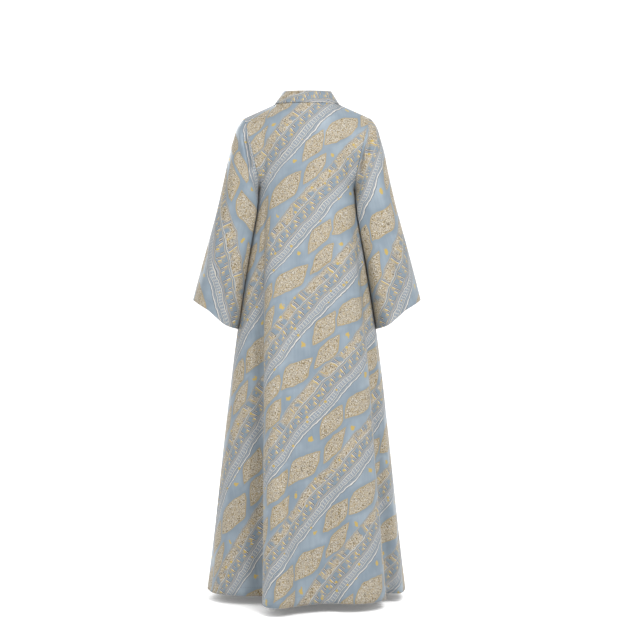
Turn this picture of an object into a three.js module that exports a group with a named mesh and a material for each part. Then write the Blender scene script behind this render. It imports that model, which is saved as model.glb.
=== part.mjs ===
// A floor-length A-line kaftan of brocade, hollow, in the shape it takes when it is worn.
// It has five cut pieces, each a closed wall of cloth: back, front, two flared sleeves and a stand collar.
// Millimetres, +Z up. The front faces -Y and the wearer's left is +X. The origin is the middle of the
// neck base, level with the two high shoulder points, because the shoulders hold the garment up.
import * as THREE from "three";

// Driving sizes
const CLOTH_WALL = 2;
const COLLAR_WALL = 3; // two layers of brocade round an interfacing
const SEAM_GAP = 0.3;
const UNDERARM_GAP = 1.1; // where sleeve and panel lie face to face
const SLEEVE_CLEARANCE = 3; // between the hanging sleeve and the side of the body
const CHEST_Z = -262; // underarm level
const CHEST_HALF_WIDTH = 140;
const CHEST_BACK = 112;
const CHEST_FRONT = 124;
const CHEST_FLATNESS = 0.75; // below 1 the chest line runs flatter over the shoulder blades and the bust
const HEM_Z = -1421;
const HIP_FULLNESS = 0.377;
const NECK_HALF_WIDTH = 93;
const NECK_BACK = 78;
const NECK_FRONT = 88;
const NAPE_DROP = 5;
const FRONT_NECK_DROP = 62;
const NECK_SCOOP = 1.4; // above 1 the front neckline stays high at the sides
const NECK_PLACE = 37; // place on the chest line of the cloth that ends at the high shoulder point
const SIDE_PLACE = 90;
const SHOULDER_TIP = { x: 184, z: -41 };
const SLIT_LENGTH = 210; // the neck slit down the centre front
const SLIT_HALF_TOP = 3.5;
const SLIT_HALF_BOTTOM = 0.6;
const COLLAR_HEIGHT = { side: 37, back: 36, front: 34 };
const COLLAR_LEAN = { across: 23, back: 12, front: 14 };
const COLLAR_CORNER = 12; // radius of the collar's two front corners
const COLLAR_RISE = 1.3; // the collar's lower edge above the neckline, clear of the panels' walls

// The largest folds of the skirt. Each row is one line of cloth that hangs straight from the chest line to
// the hem: place is its angle round the chest from the middle of the panel, positive towards the wearer's
// left, and hemX and hemY are where it meets the hem.
const BACK_FOLDS = [
  { name: "left seam", place: 90, hemX: 293, hemY: 0 },
  { name: "left swell", place: 72, hemX: 256, hemY: 98 },
  { name: "left trough", place: 62, hemX: 182, hemY: 132 },
  { name: "left root", place: 57, hemX: 120, hemY: 134 },
  { name: "left edge", place: 50, hemX: 122, hemY: 262 },
  { name: "left crest", place: 37, hemX: 78, hemY: 320 },
  { name: "centre slope", place: 20, hemX: 14, hemY: 276 },
  { name: "centre trough", place: -6, hemX: -63, hemY: 241 },
  { name: "right crest", place: -37, hemX: -146, hemY: 253 },
  { name: "right slope", place: -47, hemX: -193, hemY: 224 },
  { name: "right edge", place: -55, hemX: -224, hemY: 180 },
  { name: "right root", place: -65, hemX: -224, hemY: 96 },
  { name: "right swell", place: -77, hemX: -270, hemY: 86 },
  { name: "right seam", place: -90, hemX: -290, hemY: 0 },
];
const FRONT_FOLDS = [
  { name: "right seam", place: -90, hemX: -290, hemY: 0 },
  { name: "right swell", place: -75, hemX: -266, hemY: -94 },
  { name: "right trough", place: -62, hemX: -202, hemY: -134 },
  { name: "right edge", place: -50, hemX: -180, hemY: -236 },
  { name: "right crest", place: -37, hemX: -120, hemY: -286 },
  { name: "right slope", place: -18, hemX: -58, hemY: -240 },
  { name: "centre", place: 0, hemX: 0, hemY: -266 },
  { name: "left slope", place: 18, hemX: 54, hemY: -236 },
  { name: "left crest", place: 37, hemX: 116, hemY: -278 },
  { name: "left edge", place: 50, hemX: 172, hemY: -226 },
  { name: "left trough", place: 62, hemX: 208, hemY: -126 },
  { name: "left swell", place: 75, hemX: 268, hemY: -88 },
  { name: "left seam", place: 90, hemX: 293, hemY: 0 },
];

// How a line of cloth above the chest line runs, on the wearer's left side: rise is how strongly it leaves
// the chest, and x, y and z are the tangent with which it reaches the neckline, shoulder seam or armhole.
const BACK_RISE = [
  { place: 0, rise: 240, x: 0, y: -80, z: 200 },
  { place: 20, rise: 260, x: -6, y: -190, z: 120 },
  { place: 37, rise: 360, x: 0, y: -350, z: 50 },
  { place: 64, rise: 310, x: 10, y: -300, z: 50 },
  { place: 90, rise: 245, x: 15, y: -260, z: 45 },
];
const FRONT_RISE = [
  { place: 0, rise: 240, x: 0, y: 60, z: 170 },
  { place: 20, rise: 270, x: -8, y: 140, z: 150 },
  { place: 37, rise: 350, x: 0, y: 330, z: 60 },
  { place: 64, rise: 310, x: 10, y: 285, z: 55 },
  { place: 90, rise: 245, x: 15, y: 250, z: 45 },
];
// The tangent with which the armhole leaves the underarm, and the place where lines start to follow it.
const ARMHOLE_START = { x: -40, y: 245, z: 20 };
const ARMHOLE_FROM_PLACE = 58;

// Sections of a sleeve from the armhole down, on the wearer's left. The outer and inner lines are its two
// outlines seen from the back, back and front are its half depths, point sharpens the outer edge, and sag is
// how far the cloth between the two lines hangs below them.
const SLEEVE_SECTIONS = [
  { outerX: 208, outerZ: -76, innerX: 139, innerZ: -280, back: 68, front: 66, point: 1, sag: 0 }, // cap
  { outerX: 228, outerZ: -155, innerX: 131, innerZ: -335, back: 76, front: 76, point: 1.05, sag: 0 },
  { outerX: 262, outerZ: -305, innerX: 148, innerZ: -430, back: 79, front: 82, point: 1.15, sag: 2 },
  { outerX: 302, outerZ: -450, innerX: 176, innerZ: -550, back: 79, front: 84, point: 1.3, sag: 6 },
  { outerX: 334, outerZ: -575, innerX: 198, innerZ: -660, back: 76, front: 82, point: 1.45, sag: 11 }, // cuff
];
const SAG_REACH = 0.6; // share of the way from the inner to the outer line
const SLEEVE_POWER = 0.8; // below 1 the section is fuller than an ellipse
// Soft flutes of the sleeve: around is the angle from the underarm line by way of the back.
const SLEEVE_FLUTES = [
  { around: 62, width: 26, depth: 7 },
  { around: 98, width: 24, depth: -9 },
  { around: 132, width: 24, depth: 8 },
  { around: 236, width: 26, depth: 8 },
  { around: 272, width: 26, depth: -9 },
];
const FLUTE_START = 0.35; // share of the sleeve's length above which it hangs smooth

// Steps of the grids
const RELAX_PASSES = 6;
const STEPS_PER_FOLD = 3;
const SKIRT_ROWS = 10;
const CHEST_ROWS = 12;
const SLEEVE_ROWS = 12;
const SLEEVE_COLUMNS = 2 * CHEST_ROWS; // one for each point of the armhole's edge
const COLLAR_ROWS = 3;
const COLLAR_COLUMNS = 36;

const DEGREE = Math.PI / 180;
const vector = (x, y, z) => new THREE.Vector3(x, y, z);
const mix = (a, b, t) => a + (b - a) * t;
const smoothStep = (t) => THREE.MathUtils.smoothstep(t, 0, 1);

// A smooth curve through one column of a table, as a function of its column "place".
function through(rows, place, column) {
  const up = rows[1].place > rows[0].place ? 1 : -1;
  let i = 0;
  while (i < rows.length - 2 && (rows[i + 1].place - place) * up < 0) i += 1;
  const slope = (k) => (rows[k + 1][column] - rows[k][column]) / (rows[k + 1].place - rows[k].place);
  const tangent = (k) => (slope(Math.max(k - 1, 0)) + slope(Math.min(k, rows.length - 2))) / 2;
  const span = rows[i + 1].place - rows[i].place;
  const t = (place - rows[i].place) / span;
  return (
    (1 + 2 * t) * (1 - t) ** 2 * rows[i][column] +
    t * (1 - t) ** 2 * span * tangent(i) +
    t * t * (3 - 2 * t) * rows[i + 1][column] +
    t * t * (t - 1) * span * tangent(i + 1)
  );
}

function hermite(start, leave, end, arrive, t) {
  return start
    .clone()
    .multiplyScalar((1 + 2 * t) * (1 - t) ** 2)
    .addScaledVector(leave, t * (1 - t) ** 2)
    .addScaledVector(end, t * t * (3 - 2 * t))
    .addScaledVector(arrive, t * t * (t - 1));
}

// The two panels of the body differ in these: behind is 1 for the back and -1 for the front.
const BACK = { behind: 1, folds: BACK_FOLDS, rise: BACK_RISE, chest: CHEST_BACK };
const FRONT = { behind: -1, folds: FRONT_FOLDS, rise: FRONT_RISE, chest: CHEST_FRONT };

// A point of the neckline: turn is the angle from the nape, positive towards the wearer's left.
function neckPoint(turn) {
  const along = Math.cos(turn * DEGREE);
  return vector(
    NECK_HALF_WIDTH * Math.sin(turn * DEGREE),
    (along > 0 ? NECK_BACK : NECK_FRONT) * along,
    along > 0 ? -NAPE_DROP * along : -FRONT_NECK_DROP * (-along) ** NECK_SCOOP,
  );
}

// Where the line of cloth at a place ends: on the neckline, or on the shoulder seam beyond it.
function topPoint(panel, place) {
  const share = Math.abs(place) / NECK_PLACE;
  if (share <= 1) {
    const turn = panel.behind > 0 ? share * SIDE_PLACE : 2 * SIDE_PLACE - share * SIDE_PLACE;
    return neckPoint(turn * Math.sign(place || 1));
  }
  const t = (Math.abs(place) - NECK_PLACE) / (SIDE_PLACE - NECK_PLACE);
  return vector(mix(NECK_HALF_WIDTH, SHOULDER_TIP.x, t) * Math.sign(place), 0, SHOULDER_TIP.z * t);
}

function chestPoint(panel, place) {
  return vector(
    CHEST_HALF_WIDTH * Math.sin(place * DEGREE),
    panel.behind * panel.chest * Math.max(0, Math.cos(place * DEGREE)) ** CHEST_FLATNESS,
    CHEST_Z,
  );
}

function hemPoint(panel, place) {
  return vector(through(panel.folds, place, "hemX"), through(panel.folds, place, "hemY"), HEM_Z);
}

// Below the chest line the cloth hangs straight, pushed out a little where it passes the hips.
function skirtPoint(panel, place, down) {
  const point = chestPoint(panel, place).lerp(hemPoint(panel, place), down);
  const fullness = 1 + HIP_FULLNESS * down * (1 - down) ** 2;
  point.x *= fullness;
  point.y *= fullness;
  return point;
}

// Above it the cloth follows the back or the bust up to the neckline, shoulder seam and armhole.
function bodicePoint(panel, place, up) {
  const side = Math.sign(place || 1);
  const chest = chestPoint(panel, place);
  const column = (name) => through(panel.rise, Math.abs(place), name);
  const skirtStart = vector(chest.x, chest.y, 0).multiplyScalar(HIP_FULLNESS);
  const rise = chest.clone().sub(hemPoint(panel, place)).sub(skirtStart).setLength(column("rise"));
  const start = vector(side * ARMHOLE_START.x, panel.behind * ARMHOLE_START.y, ARMHOLE_START.z);
  const share = (Math.abs(place) - ARMHOLE_FROM_PLACE) / (SIDE_PLACE - ARMHOLE_FROM_PLACE);
  rise.lerp(start, smoothStep(share));
  const arrive = vector(side * column("x"), column("y"), column("z"));
  return hermite(chest, rise, topPoint(panel, place), arrive, up);
}

// The angles round the chest at which a panel has its columns.
function placesOf(folds) {
  const places = folds.slice(1).flatMap((row, k) =>
    Array.from({ length: STEPS_PER_FOLD }, (_, n) => mix(folds[k].place, row.place, n / STEPS_PER_FOLD)),
  );
  return [...places, folds[folds.length - 1].place];
}

// Cloth under tension evens out: each inner point from a row upwards moves to the middle of its neighbours.
function relax(grid, firstRow, times) {
  for (let pass = 0; pass < times; pass += 1) {
    const before = grid.map((row) => row.map((point) => point.clone()));
    for (let j = firstRow; j < grid.length - 1; j += 1)
      for (let i = 1; i < grid[j].length - 1; i += 1) {
        const neighbours = [before[j - 1][i], before[j + 1][i], before[j][i - 1], before[j][i + 1]];
        grid[j][i].set(0, 0, 0);
        neighbours.forEach((point) => grid[j][i].addScaledVector(point, 1 / neighbours.length));
      }
  }
  return grid;
}

// A panel's grid of points, row by row from the hem up.
function panelGrid(panel) {
  const places = placesOf(panel.folds);
  const skirt = Array.from({ length: SKIRT_ROWS }, (_, j) =>
    places.map((place) => skirtPoint(panel, place, 1 - j / SKIRT_ROWS)),
  );
  const bodice = Array.from({ length: CHEST_ROWS + 1 }, (_, j) =>
    places.map((place) => bodicePoint(panel, place, j / CHEST_ROWS)),
  );
  return relax([...skirt, ...bodice], SKIRT_ROWS + 1, RELAX_PASSES);
}

// The normal at each point of a grid, from the cells round it.
function gridNormals(grid, closed = false, keep = () => true) {
  const columns = grid[0].length;
  const normals = grid.map((row) => row.map(() => vector(0, 0, 0)));
  for (let j = 0; j < grid.length - 1; j += 1)
    for (let i = 0; i < (closed ? columns : columns - 1); i += 1) {
      if (!keep(j, i)) continue;
      const next = (i + 1) % columns;
      const corners = [[j, i], [j, next], [j + 1, next], [j + 1, i]];
      const [a, b, c, d] = corners.map(([row, column]) => grid[row][column]);
      const normal = c.clone().sub(a).cross(d.clone().sub(b));
      corners.forEach(([row, column]) => normals[row][column].add(normal));
    }
  return normals;
}

// A closed wall on a grid of points, half its thickness to each side. Cells that keep() refuses stay open,
// and trim() may move a point of the wall's faces.
function wall(grid, thickness, { closed = false, keep = () => true, trim = (p) => p } = {}) {
  const rows = grid.length;
  const columns = grid[0].length;
  const index = (j, i) => j * columns + (i % columns);
  const points = grid.flat();
  const normals = gridNormals(grid, closed, keep).flat();
  const cells = [];
  for (let j = 0; j < rows - 1; j += 1)
    for (let i = 0; i < (closed ? columns : columns - 1); i += 1)
      if (keep(j, i)) cells.push([index(j, i), index(j, i + 1), index(j + 1, i + 1), index(j + 1, i)]);
  const edges = new Map();
  for (const cell of cells)
    cell.forEach((k, n) => edges.set(`${k} ${cell[(n + 1) % 4]}`, [k, cell[(n + 1) % 4]]));
  const positions = [];
  points.forEach((point, k) => {
    const half = normals[k].setLength(thickness / 2);
    positions.push(...trim(point.clone().add(half)).toArray(), ...trim(point.clone().sub(half)).toArray());
  });
  const outer = (k) => 2 * k;
  const inner = (k) => 2 * k + 1;
  const faces = [];
  for (const [a, b, c, d] of cells) {
    faces.push(outer(a), outer(b), outer(c), outer(a), outer(c), outer(d));
    faces.push(inner(a), inner(c), inner(b), inner(a), inner(d), inner(c));
  }
  for (const [p, q] of edges.values())
    if (!edges.has(`${q} ${p}`)) faces.push(outer(q), outer(p), inner(p), outer(q), inner(p), inner(q));
  const used = [...new Set(faces)];
  const renumbered = new Map(used.map((k, n) => [k, n]));
  const geometry = new THREE.BufferGeometry();
  const kept = used.flatMap((k) => positions.slice(3 * k, 3 * k + 3));
  geometry.setAttribute("position", new THREE.Float32BufferAttribute(kept, 3));
  geometry.setIndex(faces.map((k) => renumbered.get(k)));
  geometry.computeVertexNormals();
  return geometry;
}

// The side and shoulder seams lie in the plane between front and back, and each panel stops just short of it.
const shortOfSeams = (panel) => (point) => {
  if (point.y * panel.behind < SEAM_GAP / 2) point.y = (panel.behind * SEAM_GAP) / 2;
  return point;
};

function backPanel() {
  return wall(panelGrid(BACK), CLOTH_WALL, { trim: shortOfSeams(BACK) });
}

// The front has a narrow neck slit, so its middle column is doubled and the cells between the two stay open.
function frontPanel() {
  const grid = panelGrid(FRONT);
  const middle = (grid[0].length - 1) / 2;
  const top = grid[grid.length - 1][middle].z;
  const slit = grid.map((row) => {
    const open = smoothStep((row[middle].z - top + SLIT_LENGTH) / SLIT_LENGTH);
    const half = mix(SLIT_HALF_BOTTOM, SLIT_HALF_TOP, open);
    const edge = (x) => vector(x, row[middle].y, row[middle].z);
    return [...row.slice(0, middle), edge(-half), edge(half), ...row.slice(middle + 1)];
  });
  const isOpen = (j, i) => i === middle && slit[j][middle].z > top - SLIT_LENGTH;
  return wall(slit, CLOTH_WALL, { keep: (j, i) => !isOpen(j, i), trim: shortOfSeams(FRONT) });
}

const mirrored = (grid) => grid.map((row) => row.map((p) => vector(-p.x, p.y, p.z)).reverse());

// Both sleeves are worked out as a left one: side is 1 for the left, and -1 for the right, which sees the
// body mirrored and is mirrored back at the end.
const seenFrom = (side, grid) => (side > 0 ? grid : mirrored(grid));

// The body's outline at a height below the chest line, as a closed loop of points.
function bodyLoop(side, z) {
  const down = Math.max(0, (CHEST_Z - z) / (CHEST_Z - HEM_Z));
  return [BACK, FRONT].flatMap((panel) => {
    const row = placesOf(panel.folds).map((place) => skirtPoint(panel, place, down));
    return seenFrom(side, [row])[0].slice(1);
  });
}

// Moves a point of the sleeve out, level, until it clears the body's outline.
function clearOfBody(side, point, distance) {
  if (point.z > CHEST_Z) return point;
  const loop = bodyLoop(side, point.z);
  const flat = vector(point.x, point.y, 0);
  let nearest = { gap: Infinity };
  loop.forEach((corner, k) => {
    const start = vector(corner.x, corner.y, 0);
    const next = loop[(k + 1) % loop.length];
    const end = vector(next.x, next.y, 0);
    const foot = new THREE.Line3(start, end).closestPointToPoint(flat, true, vector(0, 0, 0));
    const gap = foot.distanceTo(flat);
    const out = vector(end.y - start.y, start.x - end.x, 0).normalize();
    if (gap < nearest.gap) nearest = { gap, foot, out, outside: flat.clone().sub(foot).dot(out) >= 0 };
  });
  if (nearest.outside && nearest.gap >= distance) return point;
  const moved = nearest.foot.addScaledVector(nearest.out, distance);
  return vector(moved.x, moved.y, point.z);
}

// The points of an armhole's edge, from the underarm up the back to the shoulder tip and down the front, each
// with the normal of the panels there and the direction into them.
function armholeEdge(side) {
  const sideOf = (panel) => {
    const grid = seenFrom(side, panelGrid(panel));
    const normals = gridNormals(grid);
    const column = panel.behind > 0 ? 0 : grid[0].length - 1;
    return Array.from({ length: CHEST_ROWS + 1 }, (_, j) => ({
      point: grid[SKIRT_ROWS + j][column],
      normal: normals[SKIRT_ROWS + j][column].clone().normalize(),
    }));
  };
  const back = sideOf(BACK);
  const front = sideOf(FRONT);
  const loop = [...back, ...front.slice(1, -1).reverse()];
  for (const end of [0, CHEST_ROWS]) loop[end].normal.add(front[end].normal).normalize();
  return loop.map(({ point, normal }, k) => {
    const next = loop[(k + 1) % loop.length].point;
    const previous = loop[(k + loop.length - 1) % loop.length].point;
    const inward = next.clone().sub(previous).cross(normal).normalize();
    return { point, normal, inward };
  });
}

// Where a line of the sleeve starts: beside the armhole's edge at the shoulder, and outside it at the
// underarm, where the two walls lie face to face.
function sleeveStart({ point, normal, inward }, next) {
  const cosine = inward.dot(next.clone().sub(point).normalize());
  const sine = Math.sqrt(Math.max(0, 1 - cosine ** 2));
  return point
    .clone()
    .addScaledVector(normal, ((CLOTH_WALL + UNDERARM_GAP) * (1 + cosine)) / 2)
    .addScaledVector(inward, -((CLOTH_WALL / 2) * sine + SEAM_GAP));
}

// A point of one section of a sleeve.
function sectionPoint(section, around, along) {
  const cosine = Math.cos(around * DEGREE);
  const sine = Math.sin(around * DEGREE);
  const outward = (1 - cosine) / 2;
  const depth = sine >= 0 ? section.back : section.front;
  const power = cosine > 0 ? SLEEVE_POWER : mix(SLEEVE_POWER, section.point, -cosine);
  const bell = (row) => Math.exp(-2 * ((around - row.around) / row.width) ** 2);
  const flute = SLEEVE_FLUTES.reduce((sum, row) => sum + row.depth * bell(row), 0);
  const grown = flute * smoothStep((along - FLUTE_START) / (1 - FLUTE_START));
  const sag = section.sag * Math.sin(Math.PI * Math.min(1, outward / SAG_REACH));
  return vector(
    mix(section.innerX, section.outerX, outward),
    Math.sign(sine) * (depth * Math.abs(sine) ** power + grown * Math.abs(sine)),
    mix(section.innerZ, section.outerZ, outward) - sag,
  );
}

// A sleeve's grid, row by row from the armhole down to the cuff.
function sleeveGrid(side) {
  const edge = armholeEdge(side);
  const columns = Array.from({ length: SLEEVE_COLUMNS }, (_, i) => {
    const around = (i * 360) / SLEEVE_COLUMNS;
    const sections = SLEEVE_SECTIONS.map((row, k) =>
      sectionPoint(row, around, (k + 1) / SLEEVE_SECTIONS.length),
    );
    const start = sleeveStart(edge[i], sections[0]);
    const line = new THREE.CatmullRomCurve3([start, ...sections], false, "catmullrom");
    return Array.from({ length: SLEEVE_ROWS + 1 }, (_, j) => {
      const point = line.getPoint(j / SLEEVE_ROWS);
      return j ? clearOfBody(side, point, SLEEVE_CLEARANCE + CLOTH_WALL) : point;
    });
  });
  return seenFrom(side, columns[0].map((_, j) => columns.map((column) => column[j])));
}

// The stand collar, from its right front end round the nape to its left front end.
function collarGrid() {
  const end = 180 - Math.asin(SLIT_HALF_TOP / NECK_HALF_WIDTH) / DEGREE;
  return Array.from({ length: COLLAR_ROWS + 1 }, (_, j) =>
    Array.from({ length: COLLAR_COLUMNS + 1 }, (_, i) => {
      const turn = mix(end, -end, i / COLLAR_COLUMNS);
      const base = neckPoint(turn);
      const along = Math.cos(turn * DEGREE);
      const toEnd = (end - Math.abs(turn)) * DEGREE * NECK_HALF_WIDTH;
      const inset = Math.max(0, COLLAR_CORNER - toEnd);
      const cut = COLLAR_CORNER - Math.sqrt(Math.max(0, COLLAR_CORNER ** 2 - inset ** 2));
      const middle = along > 0 ? COLLAR_HEIGHT.back : COLLAR_HEIGHT.front;
      const full = mix(COLLAR_HEIGHT.side, middle, Math.abs(along));
      const height = mix(COLLAR_RISE, full - cut, j / COLLAR_ROWS);
      const share = height / full;
      const lean = along > 0 ? COLLAR_LEAN.back : COLLAR_LEAN.front;
      return vector(
        base.x * (1 - (share * COLLAR_LEAN.across) / NECK_HALF_WIDTH),
        base.y - Math.sign(along) * lean * share * Math.abs(along),
        base.z + height,
      );
    }),
  );
}

const brocade = new THREE.MeshStandardMaterial({
  name: "brocade",
  color: "#a9b2b8",
  roughness: 0.55,
  metalness: 0,
  side: THREE.DoubleSide,
});

function piece(name, geometry) {
  const mesh = new THREE.Mesh(geometry, brocade.clone());
  mesh.name = name;
  return mesh;
}

const kaftan = new THREE.Group();
kaftan.add(
  piece("back", backPanel()),
  piece("front", frontPanel()),
  piece("sleeve_left", wall(sleeveGrid(1), CLOTH_WALL, { closed: true })),
  piece("sleeve_right", wall(sleeveGrid(-1), CLOTH_WALL, { closed: true })),
  piece("collar", wall(collarGrid(), COLLAR_WALL)),
);

export default kaftan;
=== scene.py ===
# %% [markdown]
# # A brocade kaftan, modelled as hollow cut cloth
# The garment is a floor-length kaftan of woven brocade. A maker cuts five pieces: a flared back, a flared
# front with a neck slit, two flared sleeves and a stand collar. Here each of them is its own thin sheet,
# laid on the form that it takes when it is worn, so that neck, cuffs and hem stay open.

# %% Load the frame
import math
from functools import partial

import bmesh
import bpy
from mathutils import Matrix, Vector, noise


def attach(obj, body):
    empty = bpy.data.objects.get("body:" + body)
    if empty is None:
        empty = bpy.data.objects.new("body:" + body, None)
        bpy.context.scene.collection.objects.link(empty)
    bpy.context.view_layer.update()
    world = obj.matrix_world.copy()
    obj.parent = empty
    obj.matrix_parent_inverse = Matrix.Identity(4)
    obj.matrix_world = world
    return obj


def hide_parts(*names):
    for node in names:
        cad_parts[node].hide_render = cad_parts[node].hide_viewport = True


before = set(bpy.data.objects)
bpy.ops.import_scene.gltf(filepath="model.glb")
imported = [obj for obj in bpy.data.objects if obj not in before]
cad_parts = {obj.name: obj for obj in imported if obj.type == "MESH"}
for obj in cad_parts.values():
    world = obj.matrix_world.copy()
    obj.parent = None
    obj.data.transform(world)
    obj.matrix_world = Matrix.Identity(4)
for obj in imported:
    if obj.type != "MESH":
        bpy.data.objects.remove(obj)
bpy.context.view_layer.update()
MM = 0.001
print("nodes", sorted(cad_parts))

# %% [markdown]
# ## Camera
# The photograph looks straight at the back from about four and a half metres with a long lens, level with
# the hips. A long lens keeps the hem from spreading. The picture is square, so the sensor's width and the
# lens alone give the angle, and the camera stands a little to one side because the garment does so in it.

# %% Camera at the photograph's angle
PIXEL = 2.937 * MM  # the size of one of the picture's 627 pixels at the garment
FRAME_PIXELS = 627
CAMERA_DISTANCE = 4.558
CAMERA_HEIGHT = -0.6144
GARMENT_OFF_CENTRE = 6.5  # pixels
SENSOR = 36

camera = bpy.data.objects.new("camera", bpy.data.cameras.new("camera"))
bpy.context.collection.objects.link(camera)
bpy.context.scene.camera = camera
camera.location = (-GARMENT_OFF_CENTRE * PIXEL, CAMERA_DISTANCE, CAMERA_HEIGHT)
camera.rotation_euler = (math.radians(90), 0, math.radians(180))
camera.data.sensor_width = SENSOR
camera.data.lens = SENSOR * CAMERA_DISTANCE / (FRAME_PIXELS * PIXEL)
print("lens", round(camera.data.lens, 1), "mm")

# %% [markdown]
# ## The cut, as named sizes
# All sizes are millimetres until a point goes into a mesh. A line of cloth has a place: its angle round the
# chest from the middle of its panel, positive towards the wearer's left. It hangs straight from the chest
# line to the hem, so a fold of the skirt is no more than where each line meets the hem.

# %% Sizes of the body
CHEST_Z = -262
CHEST_HALF_WIDTH = 140
CHEST_FLATNESS = 0.75
HEM_Z = -1421
HIP_FULLNESS = 0.377
NECK_HALF_WIDTH = 93
NECK_BACK = 78
NECK_FRONT = 88
NAPE_DROP = 5
FRONT_NECK_DROP = 62
NECK_SCOOP = 1.4
NECK_PLACE = 37
SIDE_PLACE = 90
SHOULDER_TIP_X = 184
SHOULDER_TIP_Z = -41
SEAM_GAP = 0.3

HEM_COLUMNS = ("place", "x", "y")
BACK_FOLDS = [
    (90, 293, 0),  # left seam
    (72, 256, 98),
    (62, 182, 132),
    (57, 120, 134),
    (50, 122, 262),  # the left fold's edge, in front of its root
    (37, 78, 320),
    (20, 14, 276),
    (-6, -63, 241),
    (-37, -146, 253),
    (-47, -193, 224),
    (-55, -224, 180),  # the right fold's edge
    (-65, -224, 96),
    (-77, -270, 86),
    (-90, -290, 0),  # right seam
]
FRONT_FOLDS = [
    (-90, -290, 0),
    (-75, -266, -94),
    (-62, -202, -134),
    (-50, -180, -236),
    (-37, -120, -286),
    (-18, -58, -240),
    (0, 0, -266),
    (18, 54, -236),
    (37, 116, -278),
    (50, 172, -226),
    (62, 208, -126),
    (75, 268, -88),
    (90, 293, 0),
]
RISE_COLUMNS = ("place", "rise", "x", "y", "z")
BACK_RISE = [
    (0, 240, 0, -80, 200),
    (20, 260, -6, -190, 120),
    (37, 360, 0, -350, 50),
    (64, 310, 10, -300, 50),
    (90, 245, 15, -260, 45),
]
FRONT_RISE = [
    (0, 240, 0, 60, 170),
    (20, 270, -8, 140, 150),
    (37, 350, 0, 330, 60),
    (64, 310, 10, 285, 55),
    (90, 245, 15, 250, 45),
]
ARMHOLE_START = Vector((-40, 245, 20))
ARMHOLE_FROM_PLACE = 58


def named(columns, rows):
    return [dict(zip(columns, row)) for row in rows]


BACK = {
    "behind": 1,
    "chest": 112,
    "folds": named(HEM_COLUMNS, BACK_FOLDS),
    "rise": named(RISE_COLUMNS, BACK_RISE),
}
FRONT = {
    "behind": -1,
    "chest": 124,
    "folds": named(HEM_COLUMNS, FRONT_FOLDS),
    "rise": named(RISE_COLUMNS, FRONT_RISE),
}
print(len(BACK_FOLDS), "lines of cloth round the back,", len(FRONT_FOLDS), "round the front")

# %% [markdown]
# ## Lines of cloth
# Four small functions give a point of the body: on the neckline or shoulder seam, on the chest line, on the
# skirt below it and on the bodice above it. Smooth curves through the tables keep the folds soft.


# %% Curves through a table
def mix(a, b, t):
    return a + (b - a) * t


def smooth_step(t):
    t = min(1, max(0, t))
    return t * t * (3 - 2 * t)


def hermite(start, leave, end, arrive, t):
    """A cubic curve from start to end, with the slopes at which it leaves and arrives."""
    return (
        start * ((1 + 2 * t) * (1 - t) ** 2)
        + leave * (t * (1 - t) ** 2)
        + end * (t * t * (3 - 2 * t))
        + arrive * (t * t * (t - 1))
    )


def through(rows, place, column):
    """A smooth curve through one column of a table, as a function of its place."""
    up = 1 if rows[1]["place"] > rows[0]["place"] else -1
    i = 0
    while i < len(rows) - 2 and (rows[i + 1]["place"] - place) * up < 0:
        i += 1

    def slope(k):
        return (rows[k + 1][column] - rows[k][column]) / (rows[k + 1]["place"] - rows[k]["place"])

    def tangent(k):
        return (slope(max(k - 1, 0)) + slope(min(k, len(rows) - 2))) / 2

    span = rows[i + 1]["place"] - rows[i]["place"]
    t = (place - rows[i]["place"]) / span
    start, end = rows[i][column], rows[i + 1][column]
    return hermite(start, span * tangent(i), end, span * tangent(i + 1), t)


# %% Points of the body
def sign_of(place):
    return -1 if place < 0 else 1


def neck_point(turn):
    """A point of the neckline: turn is the angle from the nape, positive towards the wearer's left."""
    along = math.cos(math.radians(turn))
    depth = NECK_BACK if along > 0 else NECK_FRONT
    drop = -NAPE_DROP * along if along > 0 else -FRONT_NECK_DROP * (-along) ** NECK_SCOOP
    return Vector((NECK_HALF_WIDTH * math.sin(math.radians(turn)), depth * along, drop))


def top_point(panel, place):
    share = abs(place) / NECK_PLACE
    if share <= 1:
        turn = share * SIDE_PLACE if panel["behind"] > 0 else 2 * SIDE_PLACE - share * SIDE_PLACE
        return neck_point(turn * sign_of(place))
    t = (abs(place) - NECK_PLACE) / (SIDE_PLACE - NECK_PLACE)
    return Vector((mix(NECK_HALF_WIDTH, SHOULDER_TIP_X, t) * sign_of(place), 0, SHOULDER_TIP_Z * t))


def chest_point(panel, place):
    cosine = max(0, math.cos(math.radians(place)))
    depth = panel["behind"] * panel["chest"] * cosine**CHEST_FLATNESS
    return Vector((CHEST_HALF_WIDTH * math.sin(math.radians(place)), depth, CHEST_Z))


def hem_point(panel, place):
    return Vector((through(panel["folds"], place, "x"), through(panel["folds"], place, "y"), HEM_Z))


def skirt_point(panel, place, down):
    point = chest_point(panel, place).lerp(hem_point(panel, place), down)
    fullness = 1 + HIP_FULLNESS * down * (1 - down) ** 2
    return Vector((point.x * fullness, point.y * fullness, point.z))


def bodice_point(panel, place, up):
    side = sign_of(place)
    chest = chest_point(panel, place)
    skirt_start = Vector((chest.x, chest.y, 0)) * HIP_FULLNESS
    rise = chest - hem_point(panel, place) - skirt_start
    rise = rise.normalized() * through(panel["rise"], abs(place), "rise")
    start = Vector((side * ARMHOLE_START.x, panel["behind"] * ARMHOLE_START.y, ARMHOLE_START.z))
    share = (abs(place) - ARMHOLE_FROM_PLACE) / (SIDE_PLACE - ARMHOLE_FROM_PLACE)
    rise = rise.lerp(start, smooth_step(share))
    across, back, over = (through(panel["rise"], abs(place), name) for name in "xyz")
    return hermite(chest, rise, top_point(panel, place), Vector((side * across, back, over)), up)


print("nape", [round(v) for v in neck_point(0)], "mm")

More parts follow.
